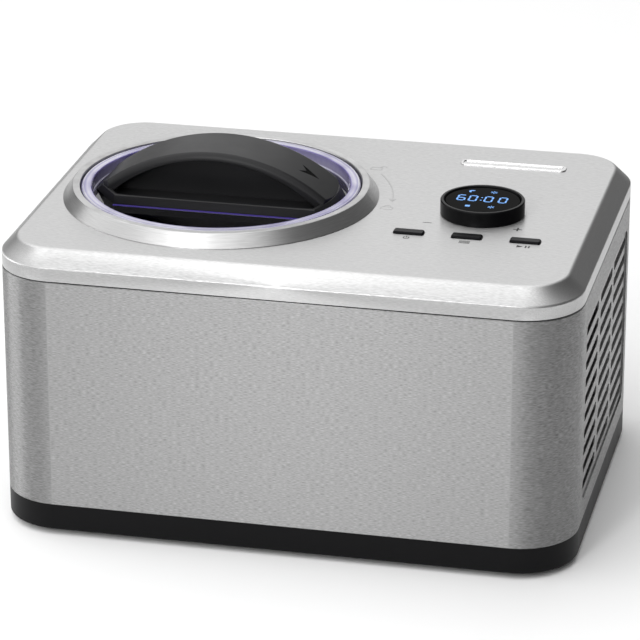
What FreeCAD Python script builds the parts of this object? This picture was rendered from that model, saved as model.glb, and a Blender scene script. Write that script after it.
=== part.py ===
import FreeCAD
import Part
import math
import os

V = FreeCAD.Vector

# ---------------------------------------------------------------- driving dimensions (mm)
WIDTH = 390.0                 # left to right, X
DEPTH = 284.0                 # front to back, Y
CORNER_R = 40.0               # plan corner radius of the whole body
FOOT_GAP = 4.0                # gap between the table and the base
BASE_TOP = 22.5               # top of the black base band
PARTING = 181.7               # top edge of the steel wrap
SHADOW_GAP = 0.9              # dark joint line between wrap and top cover
BEVEL = 10.6                  # sloping edge of the top cover, width and height
TOP_Z = 202.3                 # flat top face
TOP_SHEET = 1.6               # thickness of the top cover
WRAP_SHEET = 1.2              # thickness of the steel wrap
SLIP = 0.3                    # clearance between pieces that slide into each other

LID_X, LID_Y = -70.5, -6.0    # axis of the lid, bowl, paddle and drive
RING_IN_R = 96.0              # opening that the lid drops into
RING_TOP_R = 101.0            # outer edge of the ring's flat top
RING_BASE_R = 107.5           # foot of the ring's slope
RING_TOP_Z = 211.2
RING_SKIRT_Z = 192.0

KNOB_X, KNOB_Y = 110.0, -5.5
KNOB_R = 28.4
PANEL_X = 108.0               # middle of the button row and of the control board
KNOB_H = 10.7
BUTTON_Y = -52.2
BUTTON_PITCH = 39.0
BUTTON_LEN, BUTTON_WID = 20.4, 7.4
BUTTON_RISE = 1.7
BADGE_X, BADGE_Y = 114.0, 94.0

CHAMBER_R = 81.5              # inside of the fixed cooling chamber
CHAMBER_WALL = 2.0
CHAMBER_FLOOR = 86.0
CHAMBER_TOP = 188.0
BOWL_R = 78.0                 # inside of the lift-out bowl
BOWL_WALL = 2.0
BOWL_FLOOR = 90.5
BOWL_RIM = 190.3
SPIKE_TOP = 138.0             # top of the hollow spike in the middle of the bowl
SHAFT_R = 5.0
SHAFT_TOP = 156.0
JACKET_R = 104.0
JACKET_BOTTOM = 66.0

GEAR_Z = 40.0                 # underside of the output gear
COARSE_MODULE, FINE_MODULE = 2.0, 1.5
BIG_TEETH, SMALL_TEETH = 40, 12
MOTOR_ANGLE = math.radians(100)   # direction from the idler's axis to the motor's
IDLER_X, IDLER_Y = LID_X + COARSE_MODULE * (BIG_TEETH + SMALL_TEETH) / 2, LID_Y
MOTOR_X = IDLER_X + FINE_MODULE * (BIG_TEETH + SMALL_TEETH) / 2 * math.cos(MOTOR_ANGLE)
MOTOR_Y = IDLER_Y + FINE_MODULE * (BIG_TEETH + SMALL_TEETH) / 2 * math.sin(MOTOR_ANGLE)

GRILLE_Y = 3.0                # centre of the side grilles
GRILLE_HALF = 94.0
GRILLE_LOW, GRILLE_HIGH = 35.0, 164.0
SLOT_LEN, SLOT_HEIGHT = 53.0, 6.4
SLOT_ROWS, SLOT_PITCH = 10, 12.2
SLOT_TOP_Z = 154.0
SLOT_COLUMNS = (-57.0, 5.0, 65.0)

REAR_HALF = 148.0             # half the width of the rear panel
REAR_FACE = DEPTH / 2 - 2.7   # the rear panel is sunk into the wrap
FAN_X, FAN_Y, FAN_Z = 145.0, -48.0, 88.0
FAN_SIZE, FAN_DEPTH = 92.0, 25.0
COMP_X, COMP_Y, COMP_R = 106.0, 64.0, 49.0
STUB_Z = 148.0                # top of the compressor's pipe stubs
SUCTION_STUB = (COMP_X - 26.0, COMP_Y - 14.0)
DISCHARGE_STUB = (COMP_X + 20.0, COMP_Y + 20.0)
COND_TUBE_X = (170.5, 180.5)  # the condenser's two banks of tube
COND_Y0, COND_Y1 = -97.0, 92.0
COND_ROWS = [46.0 + 16.0 * i for i in range(7)]
DRIER_X, DRIER_Y, DRIER_Z = 46.0, 92.0, 60.0
GLAND_X, GLAND_Z = 30.0, 38.0
CORD_BORE_R = 3.6

OUT = "parts"
os.makedirs(OUT, exist_ok=True)


# ---------------------------------------------------------------- helpers
def save(name, *shapes):
    """Writes one node; several shapes become one group of separate solids."""
    solids = [s for shape in shapes for s in shape.Solids]
    body = solids[0] if len(solids) == 1 else Part.makeCompound(solids)
    bad = [s for s in solids if not s.isValid() or s.Volume <= 0]
    print(name, len(solids), "solids", round(sum(s.Volume for s in solids) / 1000, 2), "cm3",
          "INVALID" if bad else "")
    body.exportStep(f"{OUT}/{name}.step")


def box(x0, x1, y0, y1, z0, z1):
    return Part.makeBox(x1 - x0, y1 - y0, z1 - z0, V(x0, y0, z0))


def cyl(r, z0, z1, x=0.0, y=0.0):
    return Part.makeCylinder(r, z1 - z0, V(x, y, z0))


def tube(outer, inner, z0, z1, x=0.0, y=0.0):
    return cyl(outer, z0, z1, x, y).cut(cyl(inner, z0 - 1, z1 + 1, x, y))


def rod(r, start, end):
    """A round bar between two points."""
    a, b = V(*start), V(*end)
    return Part.makeCylinder(r, (b - a).Length, a, b - a)


def turned(profile, x=0.0, y=0.0):
    """A solid of revolution about a vertical axis, from (radius, height) corners."""
    points = [V(r, 0, z) for r, z in profile]
    face = Part.Face(Part.makePolygon(points + [points[0]]))
    solid = face.revolve(V(0, 0, 0), V(0, 0, 1), 360)
    solid.translate(V(x, y, 0))
    return solid


def fuse(*shapes):
    whole = shapes[0].multiFuse(list(shapes[1:])) if len(shapes) > 1 else shapes[0]
    return whole.removeSplitter()


def cut(shape, *tools):
    return shape.cut(Part.makeCompound(list(tools)))


def pick(shape, test):
    """The edges whose two ends and middle all pass test."""
    found = []
    for e in shape.Edges:
        if all(test(p) for p in [v.Point for v in e.Vertexes] + [middle(e)]):
            found.append(e)
    return found


def near(value, target, tol=0.02):
    return abs(value - target) < tol


def middle(edge):
    return edge.valueAt((edge.FirstParameter + edge.LastParameter) / 2)


def soften(shape, radius, test, by_middle=False):
    """Rounds the edges that pass test, or returns the shape unrounded if that fails."""
    edges = [e for e in shape.Edges if test(middle(e))] if by_middle else pick(shape, test)
    try:
        rounded = shape.makeFillet(radius, edges)
        if rounded.isValid() and len(rounded.Solids) == len(shape.Solids):
            return rounded
    except Exception as error:
        print("   fillet failed:", error)
    print("   left sharp:", len(edges), "edges")
    return shape


def slab(w, d, r, z0, z1, x=0.0, y=0.0):
    """A block with rounded plan corners."""
    block = box(x - w / 2, x + w / 2, y - d / 2, y + d / 2, z0, z1)
    upright = [e for e in block.Edges if near(e.Vertexes[0].X, e.Vertexes[1].X)
               and near(e.Vertexes[0].Y, e.Vertexes[1].Y)]
    return block.makeFillet(r, upright)


def inset_slab(inset, z0, z1):
    """The body's plan outline, pulled in by inset."""
    return slab(WIDTH - 2 * inset, DEPTH - 2 * inset, CORNER_R - inset, z0, z1)


def side_plate(y, half, z0, z1, r, x0, x1):
    """A plate that faces X, with rounded corners."""
    block = box(x0, x1, y - half, y + half, z0, z1)
    along = [e for e in block.Edges if near(e.Vertexes[0].Z, e.Vertexes[1].Z)
             and near(e.Vertexes[0].Y, e.Vertexes[1].Y)]
    return block.makeFillet(r, along)


def slot_x(y, z, length, height, x0, x1):
    """A horizontal slot with round ends that goes through a side wall."""
    r = height / 2 - 0.01
    return side_plate(y, length / 2, z - height / 2, z + height / 2, r, x0, x1)


def slot_y(x, z, length, height, y0, y1):
    """A horizontal slot with round ends that goes through the rear wall."""
    half = length / 2
    r = height / 2
    bar = box(x - half + r, x + half - r, y0, y1, z - r, z + r)
    ends = [rod(r, (x + s * (half - r), y0, z), (x + s * (half - r), y1, z)) for s in (-1, 1)]
    return bar.multiFuse(ends)


def pipe(points, r, bend):
    """A round tube along straight runs joined by tangent arcs."""
    pts = [V(*p) for p in points]
    edges, start = [], pts[0]
    for i in range(1, len(pts) - 1):
        back = (pts[i - 1] - pts[i]).normalize()
        ahead = (pts[i + 1] - pts[i]).normalize()
        turn = math.pi - back.getAngle(ahead)
        radius = min(bend, 0.45 * min((pts[i] - pts[i - 1]).Length,
                                      (pts[i + 1] - pts[i]).Length) / math.tan(turn / 2))
        setback = radius * math.tan(turn / 2)
        a, b = pts[i] + back * setback, pts[i] + ahead * setback
        middle = pts[i] + (back + ahead).normalize() * (radius / math.cos(turn / 2) - radius)
        edges += [Part.LineSegment(start, a).toShape(), Part.Arc(a, middle, b).toShape()]
        start = b
    edges.append(Part.LineSegment(start, pts[-1]).toShape())
    path = Part.Wire(edges)
    ring = Part.Wire(Part.makeCircle(r, pts[0], (pts[1] - pts[0])))
    return path.makePipeShell([ring], True, False)


def screw(x, y, z, length, shank_r=1.6, head_r=3.2, head_h=2.0, down=True):
    """A pan-head screw on a vertical axis; z is the seat under its head."""
    s = 1 if down else -1
    head = Part.makeCylinder(head_r, head_h, V(x, y, z), V(0, 0, s))
    edge = [e for e in head.Edges if e.Length > 1 and near(e.CenterOfMass.z, z + s * head_h)]
    head = head.makeFillet(head_h * 0.45, edge[:1])
    shank = Part.makeCylinder(shank_r, length, V(x, y, z), V(0, 0, -s))
    bars = [box(x - a, x + a, y - b, y + b, min(z + s * head_h, z + s * (head_h - 1.1)),
                max(z + s * head_h, z + s * (head_h - 1.1)))
            for a, b in ((head_r * 0.62, 0.45), (0.45, head_r * 0.62))]
    return cut(fuse(head, shank), *bars)


def lay_along_y(shape, x, y, z):
    """Turns a part made upright about the origin so that its top faces +Y, at (x, y, z)."""
    turned_part = shape.copy()
    turned_part.rotate(V(0, 0, 0), V(1, 0, 0), -90)
    turned_part.translate(V(x, y, z))
    return turned_part


def lay_along_x(shape, x, y, z):
    """Turns a part made upright about the origin so that its top faces +X, at (x, y, z)."""
    turned_part = shape.copy()
    turned_part.rotate(V(0, 0, 0), V(0, 1, 0), 90)
    turned_part.translate(V(x, y, z))
    return turned_part


def gear(module, teeth, bore, z0, z1, x, y, tooth_at, backlash=0.34):
    """An involute spur gear with one tooth centred on the direction tooth_at, in degrees."""
    pressure = math.radians(20)
    pitch_r = module * teeth / 2
    base_r = pitch_r * math.cos(pressure)
    tip_r, root_r = pitch_r + 0.72 * module, pitch_r - 1.1 * module
    half_pitch = (math.pi * module / 2 - backlash) / (2 * pitch_r)

    def involute(r):
        a = math.acos(min(1.0, base_r / r))
        return math.tan(a) - a

    start_r = max(base_r, root_r)
    radii = [start_r + (tip_r - start_r) * k / 3 for k in range(4)]
    flank = [(r, half_pitch + involute(pitch_r) - involute(r)) for r in radii]
    if root_r < start_r:
        flank = [(root_r, flank[0][1])] + flank
    points = []
    for i in range(teeth):
        centre = math.radians(tooth_at) + 2 * math.pi * i / teeth
        for r, half in flank:
            points.append(V(r * math.cos(centre - half), r * math.sin(centre - half), z0))
        for r, half in reversed(flank):
            points.append(V(r * math.cos(centre + half), r * math.sin(centre + half), z0))
    blank = Part.Face(Part.makePolygon(points + [points[0]])).extrude(V(0, 0, z1 - z0))
    blank.translate(V(x, y, 0))
    return blank.cut(cyl(bore, z0 - 1, z1 + 1, x, y))


# ---------------------------------------------------------------- outer body
def top_outer(inset):
    """The top cover's outside, or its inside when pulled in by inset."""
    block = inset_slab(inset, PARTING + SHADOW_GAP, TOP_Z - inset)
    rim = pick(block, lambda p: near(p.z, TOP_Z - inset))
    return block.makeChamfer(BEVEL - 0.4 * inset, rim)


def button_centres():
    return [(PANEL_X + k * BUTTON_PITCH, BUTTON_Y) for k in (-1, 0, 1)]


def top_cover():
    shell = top_outer(0.0)
    shell = soften(shell, 3.6, lambda p: near(p.z, TOP_Z))
    shell = soften(shell, 2.0, lambda p: near(p.z, TOP_Z - BEVEL))
    hollow = top_outer(TOP_SHEET)
    under = inset_slab(TOP_SHEET, PARTING, PARTING + SHADOW_GAP + 1)
    holes = [cyl(RING_IN_R + 2.3, PARTING, TOP_Z + 5, LID_X, LID_Y),
             cyl(22.4, PARTING, TOP_Z + 5, KNOB_X, KNOB_Y)]
    for x, y in button_centres():
        holes.append(slab(BUTTON_LEN + 0.6, BUTTON_WID + 0.6, 1.7, PARTING, TOP_Z + 5, x, y))
    for s in (-1, 1):
        holes.append(cyl(1.2, PARTING, TOP_Z + 5, BADGE_X + s * 28, BADGE_Y))
    save("top_cover", cut(shell, hollow, under, *holes))


def ring_trim():
    profile = [(RING_IN_R, RING_SKIRT_Z), (RING_IN_R + 2.0, RING_SKIRT_Z),
               (RING_IN_R + 2.0, TOP_Z), (RING_BASE_R, TOP_Z), (RING_BASE_R, TOP_Z + 0.5),
               (RING_TOP_R, RING_TOP_Z), (RING_IN_R, RING_TOP_Z)]
    ring = turned(profile, LID_X, LID_Y)
    ring = soften(ring, 0.7, lambda p: near(p.z, RING_TOP_Z))
    save("lid_ring_trim", ring)


def badge():
    plate = slab(74, 10.6, 3.4, TOP_Z, TOP_Z + 0.9, BADGE_X, BADGE_Y)
    plate = soften(plate, 0.4, lambda p: near(p.z, TOP_Z + 0.9))
    plate = cut(plate, slab(70.4, 7.0, 1.8, TOP_Z + 0.4, TOP_Z + 2, BADGE_X, BADGE_Y))
    pins = [cyl(1.0, TOP_Z - 3, TOP_Z + 0.2, BADGE_X + s * 28, BADGE_Y) for s in (-1, 1)]
    save("blank_badge", fuse(plate, *pins))


def housing_wrap():
    outer = inset_slab(0.0, BASE_TOP, PARTING)
    outer = outer.makeChamfer(0.5, pick(outer, lambda p: near(p.z, PARTING)))
    inner = inset_slab(WRAP_SHEET, BASE_TOP - 1, PARTING + 1)
    windows = []
    for s in (-1, 1):
        edge = s * WIDTH / 2
        windows.append(side_plate(GRILLE_Y, GRILLE_HALF + 0.15, GRILLE_LOW - 0.15,
                                  GRILLE_HIGH + 0.15, 9.15, min(edge, edge - s * 5) - 1,
                                  max(edge, edge - s * 5) + 1))
    back = box(-REAR_HALF - 0.15, REAR_HALF + 0.15, DEPTH / 2 - 5, DEPTH / 2 + 5,
               BASE_TOP - 1, PARTING + 1)
    flanges = []
    for s in (-1, 1):
        x0, x1 = sorted((s * (REAR_HALF + 0.15), s * (REAR_HALF - 12)))
        flanges.append(box(x0, x1, REAR_FACE - 2.7, REAR_FACE - 1.5, BASE_TOP, PARTING - 9))
        x0, x1 = sorted((s * (REAR_HALF + 0.15), s * (REAR_HALF + 1.35)))
        flanges.append(box(x0, x1, REAR_FACE - 2.7, DEPTH / 2 - 0.6, BASE_TOP, PARTING - 9))
    shell = fuse(cut(outer, inner, back, *windows), *flanges)
    holes = [rod(1.6, (x, DEPTH / 2 - 8, z), (x, DEPTH / 2 + 2, z)) for x, z in rear_screw_places()]
    save("housing_wrap", cut(shell, *holes))


def rear_screw_places():
    return [(s * (REAR_HALF - 6), z) for s in (-1, 1) for z in (34.0, 102.0, 166.0)]


def rear_panel():
    y1 = REAR_FACE
    plate = box(-REAR_HALF, REAR_HALF, y1 - 1.5, y1, BASE_TOP + 0.2, PARTING)
    slots = [slot_y(x, 150.0 - 11.0 * i, 46.0, 5.0, y1 - 5, y1 + 2)
             for x in (-100.0, -44.0, 12.0, 68.0) for i in range(8)]
    holes = [rod(1.9, (x, y1 - 6, z), (x, y1 + 2, z)) for x, z in rear_screw_places()]
    holes.append(rod(8.2, (GLAND_X, y1 - 6, GLAND_Z), (GLAND_X, y1 + 2, GLAND_Z)))
    save("rear_panel", cut(plate, *slots, *holes))
    screws = [lay_along_y(screw(0, 0, 0, 7.0, shank_r=1.55, head_r=3.3), x, y1, z)
              for x, z in rear_screw_places()]
    save("rear_panel_screws", *screws)


def cable_gland():
    """A flanged snap-in bush for a mains lead, open right through."""
    body = turned([(CORD_BORE_R, -13.0), (7.2, -13.0), (8.0, -9.0), (8.0, 0.0),
                   (11.2, 0.0), (11.2, 1.4), (10.0, 2.6), (CORD_BORE_R, 2.6)])
    save("cable_gland", lay_along_y(body, GLAND_X, REAR_FACE, GLAND_Z))


def side_grille(name, s):
    """A pressed steel insert, sunk a little into the side wall, with rows of slots."""
    face, deep = s * WIDTH / 2, s * (WIDTH / 2 - 3.2)
    floor = s * (WIDTH / 2 - 1.2)
    pan = side_plate(GRILLE_Y, GRILLE_HALF, GRILLE_LOW, GRILLE_HIGH, 9.0,
                     min(face, deep), max(face, deep))
    hollow = side_plate(GRILLE_Y, GRILLE_HALF - 1.2, GRILLE_LOW + 1.2, GRILLE_HIGH - 1.2, 7.8,
                        min(face + s, floor), max(face + s, floor))
    slots = [slot_x(GRILLE_Y + y - 1.5, SLOT_TOP_Z - SLOT_PITCH * i, SLOT_LEN, SLOT_HEIGHT,
                    min(face + s, deep - 2 * s), max(face + s, deep - 2 * s))
             for y in SLOT_COLUMNS for i in range(SLOT_ROWS)]
    save(name, cut(pan, hollow, *slots))


def foot_places():
    return [(x, y) for x in (-158.0, 158.0) for y in (-106.0, 106.0)]


def gearbox_posts():
    return [(LID_X + x, LID_Y + y) for x in (-40.0, 79.0) for y in (-40.0, 47.0)]


def comp_bolts():
    return [(COMP_X + x, COMP_Y + y) for x in (-48.0, 48.0) for y in (-38.0, 38.0)]


def base_tray():
    outer = inset_slab(0.0, FOOT_GAP, BASE_TOP)
    outer = soften(outer, 1.5, lambda p: near(p.z, FOOT_GAP))
    hollow = inset_slab(3.0, FOOT_GAP + 3, BASE_TOP + 1)
    lip = inset_slab(1.5, BASE_TOP - 2, BASE_TOP + 4).cut(inset_slab(3.0, BASE_TOP - 3, BASE_TOP + 5))
    gap = box(-REAR_HALF - 2, REAR_HALF + 2, DEPTH / 2 - 6, DEPTH / 2, BASE_TOP, BASE_TOP + 5)
    posts = [cyl(5.0, FOOT_GAP + 2, 35.8, x, y) for x, y in gearbox_posts()]
    posts += [cyl(6.5, FOOT_GAP + 2, 12.0, x, y) for x, y in comp_bolts()]
    posts += [cyl(6.0, FOOT_GAP + 2, 12.0, x, y) for x, y in foot_places()]
    tray = fuse(outer.cut(hollow), lip.cut(gap), *posts)
    holes = [cyl(11.4, FOOT_GAP - 1, FOOT_GAP + 1.5, x, y) for x, y in foot_places()]
    holes += [cyl(1.9, FOOT_GAP, 11.0, x, y) for x, y in foot_places()]
    holes += [cyl(1.9, 20.0, 36.0, x, y) for x, y in gearbox_posts()]
    holes += [cyl(2.6, 7.6, 13.0, x, y) for x, y in comp_bolts()]
    for i in range(9):
        holes.append(slab(52, 4.0, 1.99, FOOT_GAP - 1, FOOT_GAP + 4, 100, -100 + 9.0 * i))
        holes.append(slab(52, 4.0, 1.99, FOOT_GAP - 1, FOOT_GAP + 4, -105, 40 + 9.0 * i))
    save("base_tray", cut(tray, *holes))


def feet():
    profile = [(3.6, 1.6), (3.6, 0.0), (9.6, 0.0), (10.6, 1.0), (11.1, FOOT_GAP + 1.4),
               (2.0, FOOT_GAP + 1.4), (2.0, 1.6)]
    save("rubber_feet", *[turned(profile, x, y) for x, y in foot_places()])
    save("foot_screws", *[screw(x, y, 1.6, 8.6, shank_r=1.8, head_r=3.3, head_h=1.4, down=False)
                          for x, y in foot_places()])


def inner_frame():
    """The black frame under the top cover: it closes the joint line and carries the chamber."""
    wall = inset_slab(1.5, PARTING - 8, PARTING).cut(inset_slab(4.0, PARTING - 9, PARTING + 1))
    band = inset_slab(0.8, PARTING, PARTING + SHADOW_GAP)
    deck = inset_slab(1.9, PARTING + SHADOW_GAP, CHAMBER_TOP - CHAMBER_WALL)
    frame = fuse(wall, band, deck)
    holes = [cyl(92.4, PARTING - 10, TOP_Z, LID_X, LID_Y)]
    holes.append(slab(50, 26, 5, PARTING - 10, TOP_Z, 108, 62))
    holes.append(slab(44, 16, 5, PARTING - 10, TOP_Z, 108, -62))
    holes.append(box(-REAR_HALF - 2, REAR_HALF + 2, REAR_FACE - 2.8, DEPTH / 2,
                     PARTING - 9, PARTING))
    posts = [tube(3.0, 1.25, CHAMBER_TOP - CHAMBER_WALL, 188.0, x, y) for x, y in board_posts()]
    save("inner_frame", fuse(cut(frame, *holes), *posts))


# ---------------------------------------------------------------- control panel
def board_posts():
    return [(PANEL_X + x, y) for x in (-56.0, 56.0) for y in (-66.0, 32.0)]


def knob():
    z0 = TOP_Z + SLIP
    ring = turned([(22.9, z0), (KNOB_R - 0.2, z0), (KNOB_R, z0 + 0.6), (KNOB_R, TOP_Z + KNOB_H - 0.7),
                   (KNOB_R - 0.6, TOP_Z + KNOB_H), (26.3, TOP_Z + KNOB_H), (25.7, TOP_Z + KNOB_H - 0.8),
                   (25.7, z0 + 2.0), (22.9, z0 + 2.0)], KNOB_X, KNOB_Y)
    save("knob_ring", ring)
    core = turned([(0.0, 189.7), (21.9, 189.7), (21.9, z0 + 2.3), (25.2, z0 + 2.3),
                   (25.2, TOP_Z + KNOB_H - 2.6), (0.0, TOP_Z + KNOB_H - 2.6)], KNOB_X, KNOB_Y)
    hollow = cyl(19.5, 189.0, TOP_Z + KNOB_H - 4.6, KNOB_X, KNOB_Y)
    save("display_housing", core.cut(hollow))
    lens = cyl(25.2, TOP_Z + KNOB_H - 2.6, TOP_Z + KNOB_H - 0.9, KNOB_X, KNOB_Y)
    lens = soften(lens, 0.5, lambda p: near(p.z, TOP_Z + KNOB_H - 0.9))
    save("display_lens", lens)
    encoder = turned([(12.0, 190.0), (17.5, 190.0), (17.5, 196.0), (12.0, 196.0)], KNOB_X, KNOB_Y)
    save("rotary_encoder", encoder)


def buttons():
    for name, (x, y) in zip(("power_button", "menu_button", "start_button"), button_centres()):
        cap = slab(BUTTON_LEN, BUTTON_WID, 1.5, 197.0, TOP_Z + BUTTON_RISE, x, y)
        top = TOP_Z + BUTTON_RISE
        cap = cap.makeChamfer(0.7, pick(cap, lambda p: near(p.z, top)))
        flange = slab(BUTTON_LEN + 2.4, BUTTON_WID + 2.4, 1.8, 197.0, 198.6, x, y)
        save(name, fuse(cap, flange))


def control_board():
    hole = [cyl(1.3, 187, 191, x, y) for x, y in board_posts()]
    board = slab(122, 106, 3, 188.0, 189.6, PANEL_X, -17.0)
    parts = [cut(board, *hole)]
    for x, y in button_centres():
        parts.append(fuse(box(x - 3, x + 3, y - 3, y + 3, 189.6, 193.4), cyl(1.7, 193.0, 195.0, x, y)))
    save("board_screws", *[screw(x, y, 189.6, 3.4, shank_r=1.2, head_r=2.4, head_h=1.5)
                           for x, y in board_posts()])
    chips = [box(60, 72, 8, 20, 189.6, 191.2), box(140, 160, 6, 14, 189.6, 192.0),
             box(64, 92, -84 + 20, -84 + 27, 189.6, 195.4)]
    chips += [cyl(2.5, 189.6, 195.0, 146 + 7 * i, 24) for i in range(3)]
    chips += [box(58 + 6 * i, 61 + 6 * i, 26, 28, 189.6, 190.4) for i in range(5)]
    save("control_board", *parts, *chips)


# ---------------------------------------------------------------- lid
LID_R = 95.0
WELL_R = 88.0                 # wall of the lid's sunk middle
LID_FLANGE_Z = 210.5
PLATE_TOP = 202.6             # sunk clear plate
PLATE_UNDER = 200.2
LIP_TOP = 209.0               # rim round the black insert
ARCH_HALF = 24.0              # half the width of the handle's arch
ARCH_TOP = 239.0
ARCH_FOOT = 80.5              # half the span of the arch where it meets the rim
ARCH_R = (ARCH_FOOT ** 2 + (ARCH_TOP - LIP_TOP) ** 2) / (2 * (ARCH_TOP - LIP_TOP))
SCOOP_TOP, SCOOP_R = 233.8, 105.0   # arched ceiling of the finger scoops
WEB_HALF = 9.0                # half the thickness of the wall under the arch
LIP_HALF = 35.0               # half the depth of the black insert at its lip
LIP_R = 80.5                  # round ends of the insert at its lip
LIP_WALL = 2.6
INSERT_R = 86.0               # round ends of the insert at its foot
WALL_LEAN = 0.8               # how far the insert's walls lean in over their height
CLIP_FROM, CLIP_TO = (79.0, 17.0), (65.0, 35.5)   # the clipped corners of the insert
ARROW_FROM, ARROW_LEN, ARROW_HALF = 55.5, 13.0, 6.0   # sunk arrow on the arch


def lid_cover():
    profile = [(0.0, PLATE_UNDER), (84.5, PLATE_UNDER), (93.2, PLATE_UNDER), (93.2, 197.0),
               (LID_R, 197.0), (LID_R, LID_FLANGE_Z - 0.8), (LID_R - 0.8, LID_FLANGE_Z),
               (WELL_R + 0.5, LID_FLANGE_Z), (WELL_R, LID_FLANGE_Z - 0.5),
               (WELL_R - 0.3, PLATE_TOP + 1.0), (WELL_R - 1.3, PLATE_TOP), (0.0, PLATE_TOP)]
    cover = turned(profile, LID_X, LID_Y)
    groove = turned([(WELL_R + 2.3, PLATE_UNDER - 1), (93.0, PLATE_UNDER - 1),
                     (93.0, LID_FLANGE_Z - 2.2), (WELL_R + 2.3, LID_FLANGE_Z - 2.2)], LID_X, LID_Y)
    holes = [cyl(1.9, PLATE_UNDER - 1, PLATE_TOP + 1, x, y) for x, y in handle_screw_places()]
    save("lid_cover", cut(cover, groove, *holes))


def handle_screw_places():
    return [(LID_X + x, LID_Y + y) for x in (-71.0, 71.0) for y in (-12.0, 12.0)]


def half_space(normal, point, reach=200.0):
    """A big block that fills the side of a plane that normal points to."""
    block = Part.makeBox(2 * reach, 2 * reach, reach, V(-reach, -reach, 0))
    block.Placement = FreeCAD.Placement(V(*point), FreeCAD.Rotation(V(0, 0, 1), V(*normal)))
    return block


def insert_body(inset, z0, z1, sloped=True):
    """The black insert: a band across the lid with round ends and two of its corners clipped."""
    flare = 1.0 if sloped else 0.0
    rise = LIP_TOP - PLATE_TOP
    foot_r = LIP_R - inset + flare * (INSERT_R - LIP_R)
    top_r = LIP_R - inset
    body = turned([(0, PLATE_TOP), (foot_r, PLATE_TOP), (top_r, LIP_TOP), (top_r, LIP_TOP + 60),
                   (0, LIP_TOP + 60)])
    body = body.common(box(-120, 120, -120, 120, z0, z1))
    lean = flare * WALL_LEAN / rise
    cutters = [half_space((0, sy, lean), (0, sy * (LIP_HALF - inset), LIP_TOP)) for sy in (-1, 1)]
    (xa, ya), (xb, yb) = CLIP_FROM, CLIP_TO
    length = math.hypot(yb - ya, xa - xb)
    nx, ny = (yb - ya) / length, (xa - xb) / length
    for s in (-1, 1):
        corner = (s * (xa - inset * nx), s * (ya - inset * ny), LIP_TOP)
        cutters.append(half_space((s * nx, s * ny, lean), corner))
    return cut(body, *cutters)


def arch_body(top, radius, y0, y1, foot_z):
    """The space under an arc across the lid, between two Y planes."""
    drum = Part.makeCylinder(radius, y1 - y0, V(0, y0, top - radius), V(0, 1, 0))
    return drum.common(box(-120, 120, y0, y1, foot_z, top + 5))


def lid_handle():
    floor_z = PLATE_TOP + 2.2
    plate = insert_body(0.0, PLATE_TOP + 0.05, LIP_TOP)
    rim = plate.cut(insert_body(LIP_WALL, floor_z, LIP_TOP + 1, sloped=False))
    rim = soften(rim, 0.7, lambda p: near(p.z, LIP_TOP))
    arch = arch_body(ARCH_TOP, ARCH_R, -ARCH_HALF, ARCH_HALF, PLATE_TOP + 1.0)
    arch = soften(arch, 4.2, lambda p: near(abs(p.y), ARCH_HALF) and p.z > LIP_TOP, by_middle=True)
    scoops = []
    for s in (-1, 1):
        y0, y1 = sorted((s * WEB_HALF, s * 45.0))
        scoop = arch_body(SCOOP_TOP, SCOOP_R, y0, y1, floor_z)
        scoops.append(soften(scoop, 4.0, lambda p: near(p.y, s * WEB_HALF) and p.z > LIP_TOP,
                             by_middle=True))
    arch = cut(arch, *scoops)
    arch = soften(arch, 0.5, lambda p: near(abs(p.y), ARCH_HALF) and near(
        math.hypot(p.x, p.z - SCOOP_TOP + SCOOP_R), SCOOP_R), by_middle=True)
    arch = arch.common(insert_body(0.4, PLATE_TOP + 1.0, ARCH_TOP + 6))
    body = fuse(rim, arch)
    tip, tail = ARROW_FROM + ARROW_LEN, ARROW_FROM
    arrow = Part.makePolygon([V(tip, 0, 0), V(tail, ARROW_HALF, 0), V(tail + 4.0, 0, 0),
                              V(tail, -ARROW_HALF, 0), V(tip, 0, 0)])
    mark = Part.Face(arrow).extrude(V(0, 0, 30))
    mark.translate(V(0, 0, LIP_TOP - 2))
    body = body.cut(mark.cut(arch_body(ARCH_TOP - 0.6, ARCH_R - 0.6, -ARCH_HALF, ARCH_HALF, PLATE_TOP)))
    holes = [cyl(1.45, PLATE_TOP - 1, PLATE_TOP + 6.5, x - LID_X, y - LID_Y)
             for x, y in handle_screw_places()]
    body = cut(body, *holes)
    body.translate(V(LID_X, LID_Y, 0))
    save("lid_handle", body)
    save("lid_screws", *[screw(x, y, PLATE_UNDER, 7.4, shank_r=1.4, head_r=3.0, head_h=1.7, down=False)
                         for x, y in handle_screw_places()])


def lid_gasket():
    profile = [(85.0, BOWL_RIM + 0.5), (86.2, BOWL_RIM + 0.4), (87.2, BOWL_RIM + 1.4),
               (88.2, BOWL_RIM + 0.4), (89.4, BOWL_RIM + 0.5), (90.0, 196.4), (92.6, 196.9),
               (92.6, 199.2), (92.0, PLATE_UNDER - SLIP), (84.2, PLATE_UNDER - SLIP), (84.2, 197.0)]
    save("lid_gasket", turned(profile, LID_X, LID_Y))


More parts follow.
